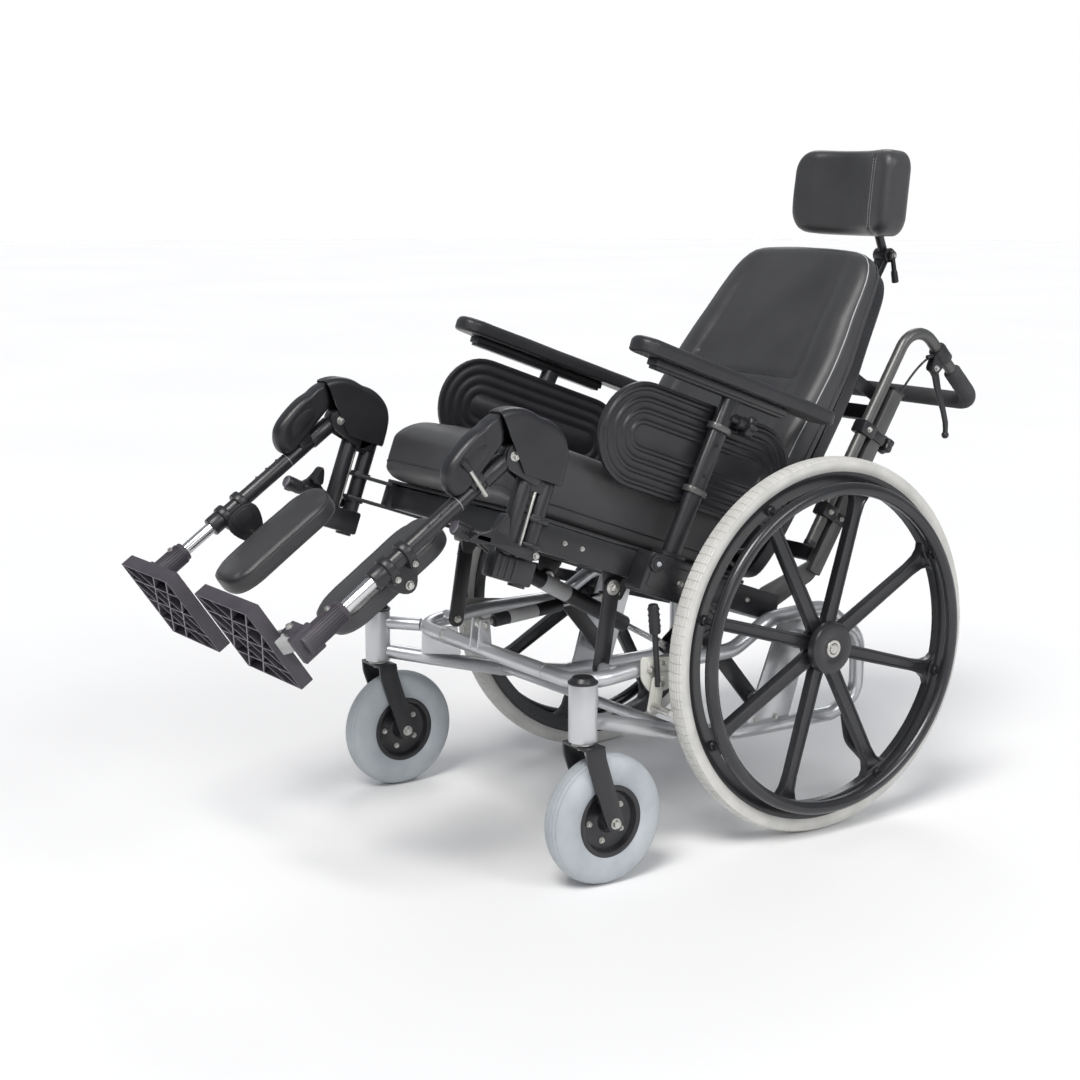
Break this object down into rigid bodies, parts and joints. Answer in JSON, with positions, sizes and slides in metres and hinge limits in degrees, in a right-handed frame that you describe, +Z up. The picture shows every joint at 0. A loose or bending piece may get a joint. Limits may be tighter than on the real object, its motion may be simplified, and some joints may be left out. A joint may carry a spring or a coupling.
{
  "type": "tilt-in-space wheelchair",
  "caption": "Tilt-in-space wheelchair with reclining padded back, head rest, elevating leg rests, calf pads, folding footplates, mag wheels, push rims and swivel casters.",
  "frame": {"origin": "on the floor, under the middle of the whole chair's box", "axes": "+X to the sitter's left, the sitter faces -Y, +Z up"},
  "size_m": [0.6902, 1.4198, 1.0923],
  "materials": {
    "frame_silver": "satin clear coat",
    "frame_black": "black powder coat",
    "lock_plate": "off-white coat",
    "lever_black": "matte",
    "wheel_black": "moulded, slightly glossy",
    "rear_tyre": "off-white block tread",
    "caster_tyre": "light grey rubber",
    "push_rim": "dark satin",
    "spring_body": "gloss black paint",
    "chrome": "polished",
    "upholstery": "stitched dark grey leatherette",
    "shell_black": "moulded shell",
    "foam_grip": "grey foam",
    "footplate": "moulded, ribbed underside",
    "cable_black": "black cable housing"
  },
  "bodies": {
    "base": {"side_frame_left": "frame_silver", "side_frame_right": "frame_silver", "cross_tubes": "frame_silver", "anti_tippers": "frame_black", "wheel_lock_brackets": "lock_plate"},
    "front_link": {"front_links": "frame_black"},
    "rear_link": {"rear_links": "frame_black"},
    "tilt_cylinder": {"tilt_spring_cylinder": "spring_body"},
    "tilt_rod": {"tilt_spring_rod": "chrome"},
    "recline_cylinder": {"recline_spring_cylinder": "spring_body"},
    "recline_rod": {"recline_spring_rod": "chrome"},
    "seat": {"seat_frame": "frame_black", "seat_pan": "frame_black", "seat_cushion": "upholstery"},
    "back": {"back_frame": "frame_black", "back_shell": "shell_black", "back_cushion": "upholstery"},
    "push_handle": {"push_bar": "frame_black", "push_grip": "foam_grip", "brake_cables": "cable_black"},
    "headrest": {"headrest_stem": "frame_black", "headrest_pad": "upholstery"},
    "wheel_left": {"rear_wheel_left": "wheel_black", "rear_tyre_left": "rear_tyre", "push_rim_left": "push_rim"},
    "caster_swivel_left": {"caster_fork_left": "frame_black"},
    "caster_wheel_left": {"caster_rim_left": "wheel_black", "caster_tyre_left": "caster_tyre"},
    "lock_left": {"wheel_lock_lever_left": "lever_black"},
    "arm_left": {"arm_post_left": "frame_black", "arm_pad_left": "upholstery", "side_panel_left": "shell_black"},
    "brake_lever_left": {"brake_lever_left": "lever_black"},
    "hanger_left": {"hanger_left": "frame_black", "knee_cap_left": "shell_black"},
    "latch_left": {"latch_lever_left": "lever_black"},
    "leg_left": {"leg_tube_left": "frame_black", "knee_cover_left": "shell_black"},
    "extension_left": {"leg_extension_left": "chrome"},
    "foot_left": {"footplate_left": "footplate"},
    "calf_left": {"calf_pad_left": "upholstery"},
    "wheel_right": {"rear_wheel_right": "wheel_black", "rear_tyre_right": "rear_tyre", "push_rim_right": "push_rim"},
    "caster_swivel_right": {"caster_fork_right": "frame_black"},
    "caster_wheel_right": {"caster_rim_right": "wheel_black", "caster_tyre_right": "caster_tyre"},
    "lock_right": {"wheel_lock_lever_right": "lever_black"},
    "arm_right": {"arm_post_right": "frame_black", "arm_pad_right": "upholstery", "side_panel_right": "shell_black"},
    "brake_lever_right": {"brake_lever_right": "lever_black"},
    "hanger_right": {"hanger_right": "frame_black", "knee_cap_right": "shell_black"},
    "latch_right": {"latch_lever_right": "lever_black"},
    "leg_right": {"leg_tube_right": "frame_black", "knee_cover_right": "shell_black"},
    "extension_right": {"leg_extension_right": "chrome"},
    "foot_right": {"footplate_right": "footplate"},
    "calf_right": {"calf_pad_right": "upholstery"}
  },
  "joints": [
    {"name": "wheel_left_spin", "type": "hinge", "parent": "base", "child": "wheel_left", "pos_m": [0.3, 0.2586, 0.305], "axis": [1, 0, 0], "continuous": true},
    {"name": "caster_left_swivel", "type": "hinge", "parent": "base", "child": "caster_swivel_left", "pos_m": [0.299, -0.2134, 0.222], "axis": [0, 0, 1], "continuous": true},
    {"name": "caster_left_spin", "type": "hinge", "parent": "caster_swivel_left", "child": "caster_wheel_left", "pos_m": [0.299, -0.1754, 0.1], "axis": [1, 0, 0], "continuous": true},
    {"name": "wheel_lock_left", "type": "hinge", "parent": "base", "child": "lock_left", "pos_m": [0.262, -0.0444, 0.281], "axis": [1, 0, 0], "range_deg": [0, 12]},
    {"name": "arm_height_left", "type": "slide", "parent": "seat", "child": "arm_left", "axis": [0, 0.4462, 0.8949], "range_m": [0, 0.06]},
    {"name": "brake_squeeze_left", "type": "hinge", "parent": "push_handle", "child": "brake_lever_left", "pos_m": [0.2, 0.59407, 0.72321], "axis": [1, 0, 0], "range_deg": [0, 15], "stiffness_Nm_per_rad": 2},
    {"name": "hanger_swing_left", "type": "hinge", "parent": "seat", "child": "hanger_left", "pos_m": [0.255, -0.27714, 0.53025], "axis": [0, 0.342, 0.9397], "range_deg": [0, 80]},
    {"name": "latch_release_left", "type": "hinge", "parent": "hanger_left", "child": "latch_left", "pos_m": [0.278, -0.285, 0.50864], "axis": [1, 0, 0], "range_deg": [0, 12], "stiffness_Nm_per_rad": 2},
    {"name": "leg_elevate_left", "type": "hinge", "parent": "hanger_left", "child": "leg_left", "pos_m": [0.255, -0.31298, 0.65397], "axis": [-1, 0, 0], "range_deg": [-2, 25]},
    {"name": "leg_length_left", "type": "slide", "parent": "leg_left", "child": "extension_left", "axis": [0, -0.8211, -0.5707], "range_m": [-0.035, 0.06]},
    {"name": "foot_flip_left", "type": "hinge", "parent": "extension_left", "child": "foot_left", "pos_m": [0.228, -0.64144, 0.42569], "axis": [0, 0.5707, -0.8211], "range_deg": [0, 22]},
    {"name": "calf_pivot_left", "type": "hinge", "parent": "leg_left", "child": "calf_left", "pos_m": [0.217, -0.47053, 0.48115], "axis": [1, 0, 0], "range_deg": [-15, 15]},
    {"name": "wheel_right_spin", "type": "hinge", "parent": "base", "child": "wheel_right", "pos_m": [-0.3, 0.2586, 0.305], "axis": [1, 0, 0], "continuous": true},
    {"name": "caster_right_swivel", "type": "hinge", "parent": "base", "child": "caster_swivel_right", "pos_m": [-0.299, -0.2134, 0.222], "axis": [0, 0, 1], "continuous": true},
    {"name": "caster_right_spin", "type": "hinge", "parent": "caster_swivel_right", "child": "caster_wheel_right", "pos_m": [-0.299, -0.1754, 0.1], "axis": [1, 0, 0], "continuous": true},
    {"name": "wheel_lock_right", "type": "hinge", "parent": "base", "child": "lock_right", "pos_m": [-0.262, -0.0444, 0.281], "axis": [1, 0, 0], "range_deg": [0, 12]},
    {"name": "arm_height_right", "type": "slide", "parent": "seat", "child": "arm_right", "axis": [0, 0.4462, 0.8949], "range_m": [0, 0.06]},
    {"name": "brake_squeeze_right", "type": "hinge", "parent": "push_handle", "child": "brake_lever_right", "pos_m": [-0.2, 0.59407, 0.72321], "axis": [1, 0, 0], "range_deg": [0, 15], "stiffness_Nm_per_rad": 2},
    {"name": "hanger_swing_right", "type": "hinge", "parent": "seat", "child": "hanger_right", "pos_m": [-0.255, -0.27714, 0.53025], "axis": [0, -0.342, -0.9397], "range_deg": [0, 80]},
    {"name": "latch_release_right", "type": "hinge", "parent": "hanger_right", "child": "latch_right", "pos_m": [-0.278, -0.285, 0.50864], "axis": [1, 0, 0], "range_deg": [0, 12], "stiffness_Nm_per_rad": 2},
    {"name": "leg_elevate_right", "type": "hinge", "parent": "hanger_right", "child": "leg_right", "pos_m": [-0.255, -0.31298, 0.65397], "axis": [-1, 0, 0], "range_deg": [-2, 25]},
    {"name": "leg_length_right", "type": "slide", "parent": "leg_right", "child": "extension_right", "axis": [0, -0.8211, -0.5707], "range_m": [-0.035, 0.06]},
    {"name": "foot_flip_right", "type": "hinge", "parent": "extension_right", "child": "foot_right", "pos_m": [-0.228, -0.64144, 0.42569], "axis": [0, -0.5707, 0.8211], "range_deg": [0, 22]},
    {"name": "calf_pivot_right", "type": "hinge", "parent": "leg_right", "child": "calf_right", "pos_m": [-0.217, -0.47053, 0.48115], "axis": [1, 0, 0], "range_deg": [-15, 15]},
    {"name": "tilt", "type": "hinge", "parent": "base", "child": "rear_link", "pos_m": [0, 0.1976, 0.207], "axis": [-1, 0, 0], "range_deg": [0, 21.7]},
    {"name": "tilt_seat", "type": "hinge", "parent": "rear_link", "child": "seat", "pos_m": [0, 0.07361, 0.35364], "axis": [-1, 0, 0], "range_deg": [-39.33, 0.1]},
    {"name": "tilt_front_link", "type": "hinge", "parent": "base", "child": "front_link", "pos_m": [0, -0.1124, 0.302], "axis": [-1, 0, 0], "range_deg": [-0.1, 21.89]},
    {"name": "tilt_spring_turn", "type": "hinge", "parent": "base", "child": "tilt_cylinder", "pos_m": [-0.04, -0.1704, 0.333], "axis": [-1, 0, 0], "range_deg": [-7.47, 0.1]},
    {"name": "tilt_spring_stroke", "type": "slide", "parent": "tilt_cylinder", "child": "tilt_rod", "axis": [0, 0.9974, 0.0716], "range_m": [-0.0005, 0.0666]},
    {"name": "recline", "type": "hinge", "parent": "seat", "child": "back", "pos_m": [0, 0.21868, 0.36043], "axis": [-1, 0, 0], "range_deg": [-10, 25]},
    {"name": "recline_spring_turn", "type": "hinge", "parent": "seat", "child": "recline_cylinder", "pos_m": [0.035, -0.14816, 0.43435], "axis": [-1, 0, 0], "range_deg": [-1.91, 0.82]},
    {"name": "recline_spring_stroke", "type": "slide", "parent": "recline_cylinder", "child": "recline_rod", "axis": [0, 0.8723, -0.4889], "range_m": [-0.0492, 0.02]},
    {"name": "push_bar_height", "type": "slide", "parent": "back", "child": "push_handle", "axis": [0, 0.5299, 0.848], "range_m": [0, 0.05]},
    {"name": "headrest_height", "type": "slide", "parent": "back", "child": "headrest", "axis": [0, 0.5299, 0.848], "range_m": [0, 0.05]}
  ],
  "couplings": [
    {"joint": "tilt_seat", "follows": "tilt", "ratio": -1.808},
    {"joint": "tilt_front_link", "follows": "tilt", "ratio": 1.004},
    {"joint": "tilt_spring_turn", "follows": "tilt", "ratio": -0.33963},
    {"joint": "tilt_spring_stroke", "follows": "tilt", "m_per_rad": 0.17451},
    {"joint": "recline_spring_turn", "follows": "recline", "ratio": -0.072472},
    {"joint": "recline_spring_stroke", "follows": "recline", "m_per_rad": -0.11159}
  ]
}
